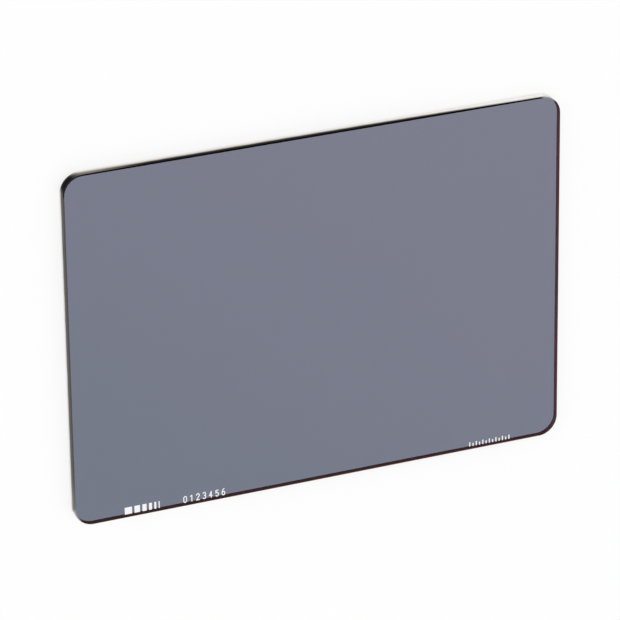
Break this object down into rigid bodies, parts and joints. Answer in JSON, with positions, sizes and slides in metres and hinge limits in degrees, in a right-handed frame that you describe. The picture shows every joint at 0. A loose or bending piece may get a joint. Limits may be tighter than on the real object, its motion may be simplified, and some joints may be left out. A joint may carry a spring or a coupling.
{
  "type": "rectangular nd filter",
  "caption": "Thin rectangular glass plate with rounded corners, finely bevelled ground edges and an even blue-grey mirror tint, dropped into a holder to dim a camera's view.",
  "frame": {"origin": "middle of the rear face, on the surface that the plate lies on", "axes": "+X along the long side, to the right in the picture; +Y along the short side, up in the picture; +Z out of the printed front face, through the glass"},
  "size_m": [0.1436, 0.1016, 0.003],
  "materials": {
    "filter_glass": "polished optical glass with an even blue-grey, half-mirrored neutral density film; fine-ground dark edge",
    "print_ink": "thin white screen-printed ink on the front face"
  },
  "bodies": {
    "root": {"filter_plate": "filter_glass"}
  },
  "joints": []
}
